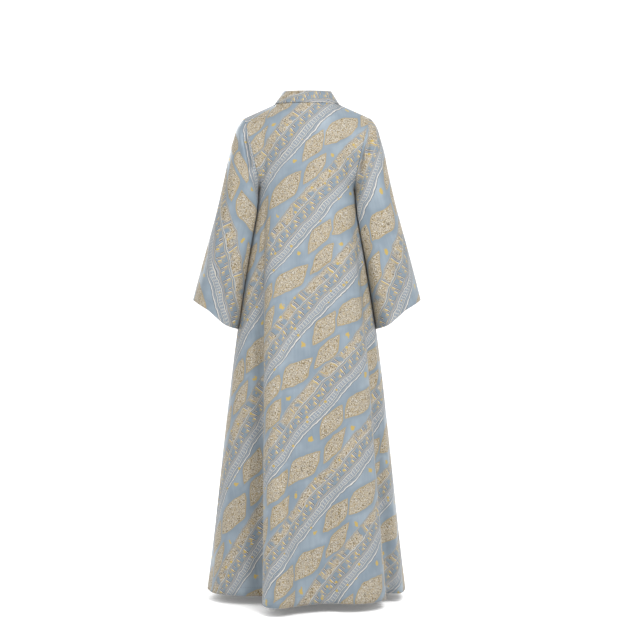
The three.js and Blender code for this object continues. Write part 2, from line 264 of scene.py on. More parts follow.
# %% [markdown]
# ## A panel as a coarse cage
# Each panel is a cage of points, row by row from the hem up, as a pattern cutter marks a panel with lines.
# Above the chest line the cage is relaxed: each point moves to the middle of its neighbours, which is what
# cloth under tension does and which takes out ridges that the tables leave.

# %% Cages of the two panels
RELAX_PASSES = 6
STEPS_PER_FOLD = 3
SKIRT_ROWS = 10
CHEST_ROWS = 12


def places_of(folds):
    places = []
    for row, following in zip(folds, folds[1:]):
        places += [mix(row["place"], following["place"], n / STEPS_PER_FOLD) for n in range(STEPS_PER_FOLD)]
    return places + [folds[-1]["place"]]


def relax(cage, first_row, times):
    for _ in range(times):
        before = [[point.copy() for point in row] for row in cage]
        for j in range(first_row, len(cage) - 1):
            for i in range(1, len(cage[j]) - 1):
                neighbours = (before[j - 1][i], before[j + 1][i], before[j][i - 1], before[j][i + 1])
                cage[j][i] = sum(neighbours, Vector()) / 4
    return cage


def panel_cage(panel):
    places = places_of(panel["folds"])
    skirt = [[skirt_point(panel, p, 1 - j / SKIRT_ROWS) for p in places] for j in range(SKIRT_ROWS)]
    bodice = [[bodice_point(panel, p, j / CHEST_ROWS) for p in places] for j in range(CHEST_ROWS + 1)]
    return relax(skirt + bodice, SKIRT_ROWS + 1, RELAX_PASSES)


cages = {"back": panel_cage(BACK), "front": panel_cage(FRONT)}
print("cages", {name: (len(cage), len(cage[0])) for name, cage in cages.items()})

# %% [markdown]
# ## Sleeves
# A sleeve is one flared tube with its seam under the arm. Its top follows the armhole's edge just outside
# the body, and its five sections give the outline that is seen from behind. Both are worked out as a left
# sleeve, and the right one is mirrored at the end because the folds of the skirt differ on that side.

# %% Sizes of the sleeves
CLOTH = 1.0
CLOTH_WALL = 2  # the part's own wall, which the sleeves keep clear of
SLEEVE_CLEARANCE = 3
UNDERARM_CLOSE = 1.7  # just under the arm the sleeve lies against the body
UNDERARM_REACH = 60
SLEEVE_ROWS = 12
SLEEVE_COLUMNS = 2 * CHEST_ROWS
SAG_REACH = 0.6
SLEEVE_POWER = 0.8
FLUTE_START = 0.35
SECTION_COLUMNS = ("outer_x", "outer_z", "inner_x", "inner_z", "back", "front", "point", "sag")
SLEEVE_SECTIONS = named(
    SECTION_COLUMNS,
    [
        (208, -76, 139, -280, 68, 66, 1, 0),
        (228, -155, 131, -335, 76, 76, 1.05, 0),
        (262, -305, 148, -430, 79, 82, 1.15, 2),
        (302, -450, 176, -550, 79, 84, 1.3, 6),
        (334, -575, 198, -660, 76, 82, 1.45, 11),
    ],
)
SLEEVE_FLUTES = named(
    ("around", "width", "depth"),
    [(62, 26, 7), (98, 24, -9), (132, 24, 8), (236, 26, 8), (272, 26, -9)],
)


# %% The armhole's edge
def mirrored(cage):
    return [[Vector((-p.x, p.y, p.z)) for p in reversed(row)] for row in cage]


def seen_from(side, cage):
    return cage if side > 0 else mirrored(cage)


def cells(grid):
    """The rows and columns of the four corners of each cell in a grid of points."""
    for j in range(len(grid) - 1):
        for i in range(len(grid[0]) - 1):
            yield (j, i), (j, i + 1), (j + 1, i + 1), (j + 1, i)


def cage_normals(cage):
    normals = [[Vector() for _ in row] for row in cage]
    for corners in cells(cage):
        a, b, c, d = (cage[row][column] for row, column in corners)
        for row, column in corners:
            normals[row][column] += (c - a).cross(d - b)
    return normals


def armhole_edge(side):
    """Points from the underarm up the back and down the front, with the normal and the way inward."""
    sides = []
    for name, column in (("back", 0), ("front", -1)):
        cage = seen_from(side, cages[name])
        normals = cage_normals(cage)
        rows = range(SKIRT_ROWS, SKIRT_ROWS + CHEST_ROWS + 1)
        sides.append([(cage[j][column], normals[j][column].normalized()) for j in rows])
    back, front = sides
    for end in (0, CHEST_ROWS):
        back[end] = (back[end][0], (back[end][1] + front[end][1]).normalized())
    loop = back + front[1:-1][::-1]
    edge = []
    for k, (point, normal) in enumerate(loop):
        along = loop[(k + 1) % len(loop)][0] - loop[k - 1][0]
        edge.append((point, normal, along.cross(normal).normalized()))
    return edge


def sleeve_start(point, normal, inward, following):
    cosine = inward.dot((following - point).normalized())
    sine = math.sqrt(max(0, 1 - cosine**2))
    out = (CLOTH + SEAM_GAP) * (1 + cosine) / 2
    return point + normal * out - inward * (CLOTH / 2 * sine + SEAM_GAP)


print(len(armhole_edge(1)), "points round an armhole")


# %% Sections of a sleeve
def section_point(section, around, along):
    cosine = math.cos(math.radians(around))
    sine = math.sin(math.radians(around))
    outward = (1 - cosine) / 2
    depth = section["back"] if sine >= 0 else section["front"]
    power = SLEEVE_POWER if cosine > 0 else mix(SLEEVE_POWER, section["point"], -cosine)
    flute = sum(
        row["depth"] * math.exp(-2 * ((around - row["around"]) / row["width"]) ** 2)
        for row in SLEEVE_FLUTES
    )
    grown = flute * smooth_step((along - FLUTE_START) / (1 - FLUTE_START))
    sag = section["sag"] * math.sin(math.pi * min(1, outward / SAG_REACH))
    x = mix(section["inner_x"], section["outer_x"], outward)
    y = math.copysign(depth * abs(sine) ** power + grown * abs(sine), sine)
    return Vector((x, y, mix(section["inner_z"], section["outer_z"], outward) - sag))


def curve_point(points, t):
    """A smooth curve through points, with t from 0 at the first to 1 at the last."""
    place = t * (len(points) - 1)
    k = min(int(place), len(points) - 2)
    before = points[k - 1] if k else points[0] * 2 - points[1]
    after = points[k + 2] if k + 2 < len(points) else points[-1] * 2 - points[-2]
    leave = (points[k + 1] - before) / 2
    arrive = (after - points[k]) / 2
    return hermite(points[k], leave, points[k + 1], arrive, place - k)


# %% Keep a sleeve off the body
def body_loop(side, z):
    down = max(0, (CHEST_Z - z) / (CHEST_Z - HEM_Z))
    loop = []
    for panel in (BACK, FRONT):
        row = [skirt_point(panel, place, down) for place in places_of(panel["folds"])]
        loop += [Vector((p.x, p.y, 0)) for p in seen_from(side, [row])[0][1:]]
    return loop


def clear_of_body(side, point, distance):
    if point.z > CHEST_Z:
        return point
    loop = body_loop(side, point.z)
    flat = Vector((point.x, point.y, 0))
    best = None
    for k, start in enumerate(loop):
        end = loop[(k + 1) % len(loop)]
        along = end - start
        t = min(1, max(0, (flat - start).dot(along) / along.length_squared))
        foot = start + along * t
        gap = (flat - foot).length
        if best is None or gap < best[0]:
            best = (gap, foot, Vector((along.y, -along.x, 0)).normalized())
    gap, foot, out = best
    if gap >= distance and (flat - foot).dot(out) >= 0:
        return point
    moved = foot + out * distance
    return Vector((moved.x, moved.y, point.z))


def sleeve_cage(side):
    """Rows from the cuff up and columns to the right as seen from outside, closed at the underarm."""
    columns = []
    for i, (point, normal, inward) in enumerate(armhole_edge(side)):
        around = i * 360 / SLEEVE_COLUMNS
        sections = [
            section_point(row, around, (k + 1) / len(SLEEVE_SECTIONS))
            for k, row in enumerate(SLEEVE_SECTIONS)
        ]
        line = [sleeve_start(point, normal, inward, sections[0]), *sections]
        column = [curve_point(line, j / SLEEVE_ROWS) for j in range(SLEEVE_ROWS + 1)]
        moved = column[:1]
        for p in column[1:]:
            hung = smooth_step((CHEST_Z - p.z) / UNDERARM_REACH)
            moved.append(clear_of_body(side, p, mix(UNDERARM_CLOSE, SLEEVE_CLEARANCE + CLOTH_WALL, hung)))
        columns.append(moved)
    columns.append(columns[0])
    rows = [[column[j] for column in columns] for j in range(SLEEVE_ROWS + 1)]
    return [row[::-1] for row in seen_from(side, rows)[::-1]]


cages["sleeve_left"] = sleeve_cage(1)
cages["sleeve_right"] = sleeve_cage(-1)
print("cuff's lowest point", round(min(p.z for p in cages["sleeve_left"][0])), "mm")

# %% [markdown]
# ## Collar
# The stand collar is a band of two layers that leans in towards the neck, is cut to meet the neckline all
# round and is rounded at its two front corners, where it stays open over the neck slit.

# %% Cage of the collar
SLIT_LENGTH = 210
SLIT_HALF_TOP = 3.5
SLIT_HALF_BOTTOM = 0.6
COLLAR_SIDE = 37
COLLAR_BACK = 36
COLLAR_FRONT = 34
COLLAR_LEAN_ACROSS = 23
COLLAR_LEAN_BACK = 12
COLLAR_LEAN_FRONT = 14
COLLAR_CORNER = 12
COLLAR_RISE = 0.4
COLLAR_ROWS = 6
COLLAR_COLUMNS = 72


def collar_point(turn, end, up):
    base = neck_point(turn)
    along = math.cos(math.radians(turn))
    to_end = math.radians(end - abs(turn)) * NECK_HALF_WIDTH
    inset = max(0, COLLAR_CORNER - to_end)
    cut = COLLAR_CORNER - math.sqrt(max(0, COLLAR_CORNER**2 - inset**2))
    full = mix(COLLAR_SIDE, COLLAR_BACK if along > 0 else COLLAR_FRONT, abs(along))
    height = mix(COLLAR_RISE, full - cut, up)
    share = height / full
    lean = COLLAR_LEAN_BACK if along > 0 else COLLAR_LEAN_FRONT
    x = base.x * (1 - share * COLLAR_LEAN_ACROSS / NECK_HALF_WIDTH)
    y = base.y - math.copysign(lean * share * abs(along), along)
    return Vector((x, y, base.z + height))


def collar_cage():
    end = 180 - math.degrees(math.asin(SLIT_HALF_TOP / NECK_HALF_WIDTH))
    turns = [mix(end, -end, i / COLLAR_COLUMNS) for i in range(COLLAR_COLUMNS + 1)]
    return [[collar_point(turn, end, j / COLLAR_ROWS) for turn in turns] for j in range(COLLAR_ROWS + 1)]


cages["collar"] = collar_cage()
print("collar's top", round(max(p.z for p in cages["collar"][-1])), "mm")

# %% [markdown]
# ## The flat cut under the worn form
# A woven pattern lies straight on the flat cloth, and bends only where the cloth bends. So each cage is
# also laid flat with its real lengths, and that flat lay becomes the UV map in metres. Up to its ruled row
# a cage is laid out strip by strip, each one a flat four-sided piece. The rows above it curve both ways, as
# a bodice does, so they start near their places and settle until all lengths are as near as they can be.


# %% Lay a cage flat
SETTLE_PASSES = 120


def placed(a, b, from_a, from_b, side):
    """The point at given distances from two points, on the given side of the line between them."""
    along = b - a
    base = along.length
    x = (from_a**2 - from_b**2 + base**2) / (2 * base)
    y = math.sqrt(max(0, from_a**2 - x**2))
    across = Vector((along.y, -along.x))
    return a + along * (x / base) + across * (side * y / base)


def flat_lay(cage, middle, ruled):
    """Flat places of a cage's points: rows up to the ruled one are straight, and the rest follow on."""
    low, high = cage[0], cage[ruled]
    ends = {middle: (Vector((0, 0)), Vector((0, (high[middle] - low[middle]).length)))}
    for step, last in ((1, len(low) - 1), (-1, 0)):
        for i in range(middle, last, step):
            a, b = ends[i]
            n = i + step
            c = placed(a, b, (low[n] - low[i]).length, (low[n] - high[i]).length, step)
            d = placed(c, b, (high[n] - low[n]).length, (high[n] - high[i]).length, step)
            ends[n] = (c, d)
    flat = []
    for j, row in enumerate(cage):
        if j <= ruled:
            flat.append([ends[i][0].lerp(ends[i][1], j / ruled) for i in range(len(row))])
            continue
        line = []
        for i in range(len(row)):
            step = 1 if i > middle else -1
            span = range(middle, i, step)
            grown = sum((row[k + step] - row[k]).length - (high[k + step] - high[k]).length for k in span)
            up = (row[i] - cage[j - 1][i]).length
            line.append(Vector((ends[i][1].x + step * grown, flat[j - 1][i].y + up)))
        flat.append(line)
    return settled(cage, flat, ruled + 1)


def settled(cage, flat, first):
    """Pulls the flat points of the rows from the first one up towards the cage's own lengths."""
    ties = []
    for j in range(first - 1, len(cage)):
        for i in range(len(cage[0])):
            for k, n in ((j, i + 1), (j + 1, i), (j + 1, i + 1), (j + 1, i - 1)):
                if first <= k < len(cage) and 0 <= n < len(cage[0]):
                    ties.append((j, i, k, n, (cage[k][n] - cage[j][i]).length))
    for _ in range(SETTLE_PASSES):
        for j, i, k, n, length in ties:
            apart = flat[k][n] - flat[j][i]
            pull = apart * (1 - length / max(apart.length, 1))
            share = 0.5 if j >= first else 0
            flat[j][i] = flat[j][i] + pull * share
            flat[k][n] = flat[k][n] - pull * (1 - share)
    return flat


MIDDLES = {"back": 20, "front": 18, "sleeve_left": 12, "sleeve_right": 12, "collar": 36}
RULED_ROWS = {
    "back": SKIRT_ROWS,
    "front": SKIRT_ROWS,
    "sleeve_left": SLEEVE_ROWS - 3,
    "sleeve_right": SLEEVE_ROWS - 3,
    "collar": COLLAR_ROWS,
}
flats = {name: flat_lay(cage, MIDDLES[name], RULED_ROWS[name]) for name, cage in cages.items()}


def flat_size(flat):
    points = [p for row in flat for p in row]
    width = max(p.x for p in points) - min(p.x for p in points)
    length = max(p.y for p in points) - min(p.y for p in points)
    area = 0
    for corners in cells(flat):
        a, b, c, d = (flat[row][column] for row, column in corners)
        area += abs((c - a).x * (d - b).y - (c - a).y * (d - b).x) / 2
    return width * MM, length * MM, area * MM**2


cuts = {name: flat_size(flat) for name, flat in flats.items()}
for name, cut in cuts.items():
    print(name, "flat width, length and area", [round(v, 3) for v in cut])

# %% [markdown]
# ## Creases placed one by one
# The large folds are in the cages. The smaller ones are set here, one by one: soft troughs and ridges that
# start at the armholes, under the arms and in the sleeves, each a little uneven along its length. A crease
# is a line as it is seen from behind or in front, in millimetres, with its width and its depth. A minus
# depth is a ridge.

# %% Tables of creases
CREASES = {  # x and z of a crease's two ends, its width and its depth
    "back": [
        (112, -112, 130, -205, 13, 4.5),  # from the left armhole
        (96, -120, 108, -228, 22, 2.5),
        (-120, -150, -128, -240, 13, 4.5),  # from the right armhole
        (-100, -110, -112, -215, 20, 2.5),
        (60, -90, 40, -300, 45, -1.6),  # over the shoulder blades
        (-52, -95, -40, -330, 45, -1.6),
        (0, -240, -8, -560, 40, 1.8),
        (-70, -420, -96, -900, 30, 2.2),
        (44, -520, 52, -1000, 34, 2.0),
        (10, -820, 4, -1421, 30, 2.6),
        (-110, -760, -140, -1421, 24, 2.4),
        (84, -900, 92, -1421, 22, -2.0),
        (180, -640, 236, -1421, 20, 2.6),
        (-190, -700, -252, -1421, 18, 2.4),
    ],
    "front": [
        (112, -116, 128, -215, 14, 4.0),
        (-112, -116, -128, -215, 14, 4.0),
        (70, -120, 40, -320, 45, -1.8),
        (-70, -120, -44, -320, 45, -1.8),
        (24, -330, 34, -700, 34, 2.0),
        (-30, -360, -44, -760, 34, 2.0),
        (84, -560, 104, -1100, 28, 2.4),
        (-90, -520, -112, -1060, 28, 2.4),
        (22, -860, 30, -1421, 26, 2.6),
        (-24, -900, -34, -1421, 26, 2.6),
        (150, -760, 196, -1421, 22, -2.2),
        (-150, -800, -200, -1421, 22, -2.2),
        (196, -660, 250, -1421, 18, 2.4),
        (-196, -700, -252, -1421, 18, 2.4),
    ],
    "sleeve_left": [
        (181, -98, 160, -192, 5.5, 11),  # a deep crease beside the armhole seam
        (196, -84, 174, -190, 7, -4.4),
        (210, -90, 186, -200, 9, 3.4),
        (206, -130, 214, -330, 16, -4.0),
        (196, -240, 226, -480, 16, 4.4),
        (236, -360, 254, -640, 12, 5.0),
        (262, -420, 288, -640, 12, -4.4),
        (190, -470, 214, -660, 13, -4.0),
        (168, -300, 190, -420, 15, 3.4),
    ],
    "sleeve_right": [
        (-166, -96, -152, -200, 5.5, 12),  # a deep crease beside the armhole seam
        (-182, -98, -176, -150, 5, 6),
        (-195, -86, -174, -200, 8, -3.8),
        (-214, -120, -216, -330, 15, -4.2),
        (-200, -220, -224, -470, 16, 4.2),
        (-247, -420, -247, -640, 12, 5.6),
        (-268, -430, -290, -640, 12, -4.4),
        (-190, -460, -212, -660, 13, -4.0),
        (-160, -290, -186, -430, 15, 3.4),
    ],
    "collar": [
        (40, 0, 36, 34, 8, 0.6),
        (-30, 0, -34, 34, 9, 0.5),
    ],
}
CREASE_RANGE = (-0.3, 1.3)  # shares of a crease's length beyond which it has no depth
CREASE_ENDS = (-0.12, 1.2)  # where it starts and ends
CREASE_FADE = 0.3
HEM_CREASE_START = -0.1  # one that runs into the hem fades in slowly and keeps its depth to the end
HEM_CREASE_FADE = 0.5
STRAY = 0.35  # how far a crease strays sideways, as a share of its width
STRAY_LENGTH = 90
UNEVEN = (0.8, 0.4)  # its depth is the first share of its own, give or take the second
UNEVEN_LENGTH = 70
SLOW_WAVE = (48, 260)  # the drape's waves, across the cloth and down it
FINE_WAVE = (22, 120)
FINE_SHARE = 0.35
SEED_STEP = 100  # sets the pieces apart in the noise, so that no two drape alike
DRAPE = {"back": 1.6, "front": 1.6, "sleeve_left": 1.5, "sleeve_right": 1.5, "collar": 0.25}


def crease_depth(row, point):
    """How deep a crease presses a point in: full on its line, uneven along it and soft at its ends."""
    x0, z0, x1, z1, width, depth = row
    along = Vector((x1 - x0, z1 - z0))
    length = along.length
    offset = Vector((point.x - x0, point.z - z0))
    t = offset.dot(along) / length**2
    if t < CREASE_RANGE[0] or t > CREASE_RANGE[1]:
        return 0
    stray = width * STRAY * noise.noise(Vector((x0, z0, t * length / STRAY_LENGTH)))
    across = (offset.x * along.y - offset.y * along.x) / length + stray
    first, last = CREASE_ENDS
    ends = smooth_step((t - first) / CREASE_FADE) * smooth_step((last - t) / CREASE_FADE)
    if z1 <= HEM_Z:
        ends = smooth_step((t - HEM_CREASE_START) / HEM_CREASE_FADE)
    share, swing = UNEVEN
    uneven = share + swing * noise.noise(Vector((t * length / UNEVEN_LENGTH, x1, z1)))
    return depth * ends * uneven * math.exp(-((across / width) ** 2))


def wave(point, size, seed):
    across, down = size
    return noise.noise(Vector((point.x / across, point.y / across, seed + point.z / down)))


def drape_depth(name, point):
    """Slow uneven waves of the whole cloth, long down the cloth and short across it."""
    seed = SEED_STEP * sorted(CREASES).index(name)
    fine = wave(point, FINE_WAVE, seed + SEED_STEP / 2)
    return DRAPE[name] * (wave(point, SLOW_WAVE, seed) + FINE_SHARE * fine)


print("creases", {name: len(rows) for name, rows in CREASES.items()})

# %% [markdown]
# ## From a cage to a sheet of cloth
# A sheet starts as a flat bmesh grid, finer than its cage. Each vertex goes to its place on a smooth
# surface through the cage, pressed in by the creases and drawn in along the seams. Each face corner gets
# its flat place as its UV, and in a second map its distance from the finished edge, for the stitches.
# Subdivision Surface then rounds what is left of the facets, and Solidify gives the cloth its thickness on
# both sides of the surface, so that the sheet keeps to the middle of the part's wall.


# %% A smooth surface through a cage
def weights(t):
    """Catmull-Rom weights of the four points round a place."""
    return (
        (-t + 2 * t**2 - t**3) / 2,
        (2 - 5 * t**2 + 3 * t**3) / 2,
        (t + 4 * t**2 - 3 * t**3) / 2,
        (-(t**2) + t**3) / 2,
    )


def beyond(points, k, closed):
    last = len(points) - 1
    if 0 <= k <= last:
        return points[k]
    if closed:
        return points[k % last]
    return points[0] * 2 - points[1] if k < 0 else points[last] * 2 - points[last - 1]


def on_curve(points, place, closed=False):
    k = min(int(place), len(points) - 2)
    found = points[0] * 0
    for n, weight in enumerate(weights(place - k)):
        found = found + beyond(points, k - 1 + n, closed) * weight
    return found


def on_cage(cage, down, across, closed=False):
    """The point of the smooth surface at a row and a column, which need not be whole."""
    k = min(int(down), len(cage) - 2)
    first = max(0, k - 1)
    near = [on_curve(row, across, closed) for row in cage[first : k + 3]]
    return on_curve(near, down - first)


middle_of_hem = on_cage(cages["back"], 0, MIDDLES["back"])
print("middle of the back hem", [round(v) for v in middle_of_hem], "mm")

# %% Sheets of cloth
COLLAR_CLOTH = 2.4
FINENESS = {"back": 4, "front": 4, "sleeve_left": 5, "sleeve_right": 5, "collar": 1}
ROW_FINENESS = {"back": 3, "front": 3, "sleeve_left": 6, "sleeve_right": 6, "collar": 1}
SEAM_PRESS = 1.3  # how deep a seam draws the cloth in
SEAM_SOFTNESS = 4.5
SEAM_FREE = 120  # it fades over this much of height near the underarm, where four edges meet
CREASE_START = 8  # creases and drape start this far from a seam
NORMAL_STEP = 0.05  # of a cage's row or column, between the points that give a surface's slope
WELD = 0.01  # a sleeve's two sides lie on each other along its seam, and are joined there


def surface_normal(cage, down, across, closed):
    last = len(cage[0]) - 1
    low, high = max(0, down - NORMAL_STEP), min(len(cage) - 1, down + NORMAL_STEP)
    left, right = across - NORMAL_STEP, across + NORMAL_STEP
    if closed:
        left, right = left % last, right % last
    else:
        left, right = max(0, left), min(last, right)
    rise = on_cage(cage, high, across, closed) - on_cage(cage, low, across, closed)
    run = on_cage(cage, down, right, closed) - on_cage(cage, down, left, closed)
    return run.cross(rise).normalized()


def to_seam(name, down, across):
    """The distance to the nearest seam: the sides and the top of a panel, or the top of a sleeve."""
    cage = cages[name]
    row, column = cage[min(int(down), len(cage) - 2)], int(across)
    to_top = (len(cage) - 1 - down) * (cage[-1][column] - cage[-2][column]).length
    if name.startswith("sleeve"):
        return to_top
    to_side = min(across, len(row) - 1 - across) * (row[1] - row[0]).length
    return min(to_side, to_top)


def worn_point(name, down, across):
    """Where a point of the cloth lies when it is worn, creases and all."""
    closed = name.startswith("sleeve")
    point = on_cage(cages[name], down, across, closed)
    normal = surface_normal(cages[name], down, across, closed)
    press = drape_depth(name, point)
    press += sum(crease_depth(row, point) for row in CREASES[name])
    if name != "collar":
        far = to_seam(name, down, across)
        press *= smooth_step(far / CREASE_START)
        drawn = SEAM_PRESS * smooth_step(abs(point.z - CHEST_Z) / SEAM_FREE)
        press += drawn * math.exp(-((far / SEAM_SOFTNESS) ** 2))
    return point - normal * press


def climb_of(cage):
    """For each point, how far along its row it is and how far up its column from the finished edge."""
    climb = [[Vector((0, 0)) for _ in row] for row in cage]
    for j, row in enumerate(cage):
        for i in range(len(row)):
            along = climb[j][i - 1].x + (row[i] - row[i - 1]).length if i else 0
            up = climb[j - 1][i].y + (row[i] - cage[j - 1][i]).length if j else 0
            climb[j][i] = Vector((along, up))
    return climb


climbs = {name: climb_of(cage) for name, cage in cages.items()}
climbs["collar"] = climb_of(cages["collar"][::-1])[::-1]  # a collar's finished edge is its top


def sheet_of(name):
    cage = cages[name]
    closed = name.startswith("sleeve")
    fine, fine_rows = FINENESS[name], ROW_FINENESS[name]
    columns = (len(cage[0]) - 1) * fine
    rows = (len(cage) - 1) * fine_rows
    cloth = bmesh.new()
    bmesh.ops.create_grid(cloth, x_segments=columns, y_segments=rows, size=1)
    places = {}
    for vertex in cloth.verts:
        across = round((vertex.co.x + 1) / 2 * columns) / fine
        down = round((vertex.co.y + 1) / 2 * rows) / fine_rows
        places[vertex.index] = (down, across)
    for label, lay in (("flat lay", flats[name]), ("from the edges", climbs[name])):
        uv = cloth.loops.layers.uv.new(label)
        for face in cloth.faces:
            for corner in face.loops:
                corner[uv].uv = on_cage(lay, *places[corner.vert.index]) * MM
    for vertex in cloth.verts:
        down, across = places[vertex.index]
        vertex.co = worn_point(name, down, across % (len(cage[0]) - 1) if closed else across) * MM
    return cloth, places


def hang(name, cloth, material, thickness):
    if name.startswith("sleeve"):
        bmesh.ops.remove_doubles(cloth, verts=cloth.verts, dist=WELD * MM)
    bmesh.ops.recalc_face_normals(cloth, faces=cloth.faces)
    piece_mesh = bpy.data.meshes.new(name + "_cloth")
    cloth.to_mesh(piece_mesh)
    cloth.free()
    made = bpy.data.objects.new(name + "_cloth", piece_mesh)
    bpy.context.collection.objects.link(made)
    piece_mesh.materials.append(material)
    piece_mesh.polygons.foreach_set("use_smooth", [True] * len(piece_mesh.polygons))
    smooth = made.modifiers.new("smooth", "SUBSURF")
    smooth.levels = smooth.render_levels = 1
    wall = made.modifiers.new("thickness", "SOLIDIFY")
    wall.thickness = thickness * MM
    wall.offset = 0
    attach(made, "root")
    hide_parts(name)
    return made


# %% [markdown]
# ## Brocade
# Brocade is a satin ground of fine blue warp, floated over by thicker cream, gold and brown wefts that
# make the figures. It is smooth and softly shiny where the ground shows and matt and grainy where the
# figures lie. A picture of the cloth could be laid on each piece, but it would blur from close by. So the
# pattern is charted from plain leaf and ladder motifs on diagonal stripes, by arithmetic on the flat lay.
# Its repeat is 248 mm along a stripe and 189 mm across.


# %% Colours and one helper
def linear(hexed):
    """An sRGB hex colour as the linear colour that a node takes."""
    channels = [int(hexed[k : k + 2], 16) / 255 for k in (1, 3, 5)]
    return [c / 12.92 if c <= 0.04045 else ((c + 0.055) / 1.055) ** 2.4 for c in channels] + [1]


def add_node(tree, kind, inputs=(), operation=None, out=0, **settings):
    """Adds a node with its settings, sets or links its inputs and returns one of its outputs."""
    made = tree.nodes.new("ShaderNode" + kind)
    if operation:
        made.operation = operation
    for name, value in settings.items():
        setattr(made, name, value)
    for socket, value in inputs.items() if isinstance(inputs, dict) else enumerate(inputs):
        if isinstance(value, bpy.types.NodeSocket):
            tree.links.new(value, made.inputs[socket])
        else:
            made.inputs[socket].default_value = value
    return made.outputs[out] if made.outputs else made


def fill_ramp(socket, stops):
    """Sets the steps of a colour ramp: places from 0 to 1, each with its colour."""
    ramp = socket.node.color_ramp
    ramp.interpolation = "CONSTANT"
    for _ in stops[2:]:
        ramp.elements.new(1)
    for element, (place, colour) in zip(ramp.elements, stops):
        element.position = place
        element.color = linear(colour)


SATIN = "#79848c"
SATIN_DEEP = "#66727c"
LAVENDER = "#727881"
SLATE = "#505963"
CREAM = "#a09c93"
PALE = "#aba8a2"
GOLD = "#86785c"
YELLOW = "#988448"
BROWN = "#504330"
TAN = "#847c6b"

# %% The pattern's tables
STRIPE = 189 * MM  # from one leaf stripe to the next
REPEAT = 248 * MM  # along a stripe
SHIFT = 62 * MM  # of each stripe along the one above it
LEAVES = [  # along, across, half length, half width and tilt
    (0, -4, 70, 31, -2),
    (150, 22, 57, 25, 9),
    (106, -27, 56, 20, 9),
]
LEAF_LEAN = 0.32  # how far a leaf's two sides are pushed along it, one up and one down
LEAF_POINT = 1.5  # how sharp its tips are: 2 is a plain arc
DOTS = [(76, 33, 6), (176, -36, 6)]  # along, across and radius of the small gold dots
DOT_FRAY = 20 * MM  # how unevenly a dot's rim is woven, about six times what it strays
BAND_HALF = 46
BAND_LINES = [  # from the lower edge of a band up, in mm from its middle, each with its colour
    (-46, SLATE), (-44.6, PALE), (-41.8, LAVENDER), (-39.5, SLATE),
    (-38.4, SATIN_DEEP), (-34.4, CREAM), (-33, SLATE), (-32, LAVENDER),
    (-20, CREAM), (-18.2, SLATE), (-16.4, LAVENDER), (-13, GOLD),
    (-11, SLATE), (-9.8, SATIN_DEEP), (11.4, GOLD), (13.2, SATIN_DEEP),
    (15.6, CREAM), (17, LAVENDER), (42, GOLD), (44, SATIN_DEEP),
]
SQUARE_STEP = 36
SQUARE_LINES = [  # along a row of squares, as shares of a step
    (0, CREAM), (0.05, BROWN), (0.09, SATIN_DEEP), (0.5, GOLD),
    (0.56, LAVENDER), (0.64, YELLOW), (0.74, CREAM), (0.8, SLATE),
    (0.85, LAVENDER), (0.95, BROWN),
]
LADDER_STEP = 9
LADDER_LINES = [(0, SATIN_DEEP), (0.24, SATIN), (0.5, CREAM), (0.68, LAVENDER)]
KNOT_STEP = 30 * MM  # small gold knots strewn over the bands
KNOT_RADIUS = 4 * MM
STRIPS = [  # rows in a band that aren't plain lines: their middle and half width
    ("squares", 0.8, 8.8),
    ("ladder", -26, 5.4),
    ("squares", 29.5, 11.5),
    ("floats", 29.5, 11.5),  # in patches, over the second row of squares
]
FLOATS = [  # short wavering floats of weft, as steps of a noise from 0 to 1
    (0, GOLD), (0.37, CREAM), (0.42, TAN), (0.45, BROWN),
    (0.48, GOLD), (0.52, CREAM), (0.56, TAN), (0.61, BROWN),
    (0.65, CREAM),
]
GRAIN = 9 * MM  # a float is about 1 mm wide and is drawn three times as wide, so that it shows
THREAD_STEP = 4.6 * MM  # fine lines along a band
WAVER = 38 * MM  # about six times what a line strays
HEM_DEPTH = 25  # the hem and the cuffs are turned up by this much and stitched
STITCH_STEP = 5
STITCH_SHARE = 0.4  # of a step that a stitch takes
STITCH_HALF = 0.6  # half of a stitch's width
THREAD_SHOWS = 0.7  # the sewing thread is slate blue and half sunk in the cloth
STITCH_SINKS = 1.0
COLLAR_STITCH = 4  # the collar's top edge is stitched through its two layers
SLIT_STITCH = 6  # and the neck slit is stitched this far from its middle
print(len(LEAVES), "leaves and", len(BAND_LINES), "lines a repeat")

# %% [markdown]
# ## Where a point lies in the pattern
# The flat lay is turned to the stripes' angle. A loom's cloth isn't ruled, so its lines waver by a few
# millimetres. Each stripe is the one above it moved along, so the chart of one serves for them all.

# %% A place in the pattern
WAVES = 8  # a metre


def place_in_pattern(add, turned):
    """The distance along a stripe and the distance across from its middle."""
    noisy = {"Vector": turned, "Scale": WAVES, "Detail": 3.5, "Roughness": 0.6}
    waver = add("VectorMath", [add("TexNoise", noisy, out="Color"), (0.5, 0.5, 0.5)], "SUBTRACT")
    waver = add("VectorMath", {0: waver, "Scale": WAVER}, "SCALE")
    s = add("SeparateXYZ", [add("VectorMath", [turned, waver], "ADD")])
    t = s.node.outputs[1]
    stripe = add("Math", [add("Math", [t, STRIPE], "DIVIDE")], "ROUND")
    s = add("Math", [stripe, SHIFT, s], "MULTIPLY_ADD")
    return s, add("Math", [stripe, -STRIPE, t], "MULTIPLY_ADD")


def from_centre(add, s, t, centre, height, tilt=0):
    """Distances from a motif's centre along the stripe, and across from its middle line, which may tilt."""
    x = add("Math", [s, -centre * MM], "ADD")
    x = add("Math", [x, REPEAT / 2, -REPEAT / 2], "WRAP")
    y = add("Math", [x, -math.tan(math.radians(tilt)), t], "MULTIPLY_ADD")
    return x, add("Math", [y, height * MM], "SUBTRACT")


print("a stripe moves along by", round(SHIFT / REPEAT, 2), "of a repeat")
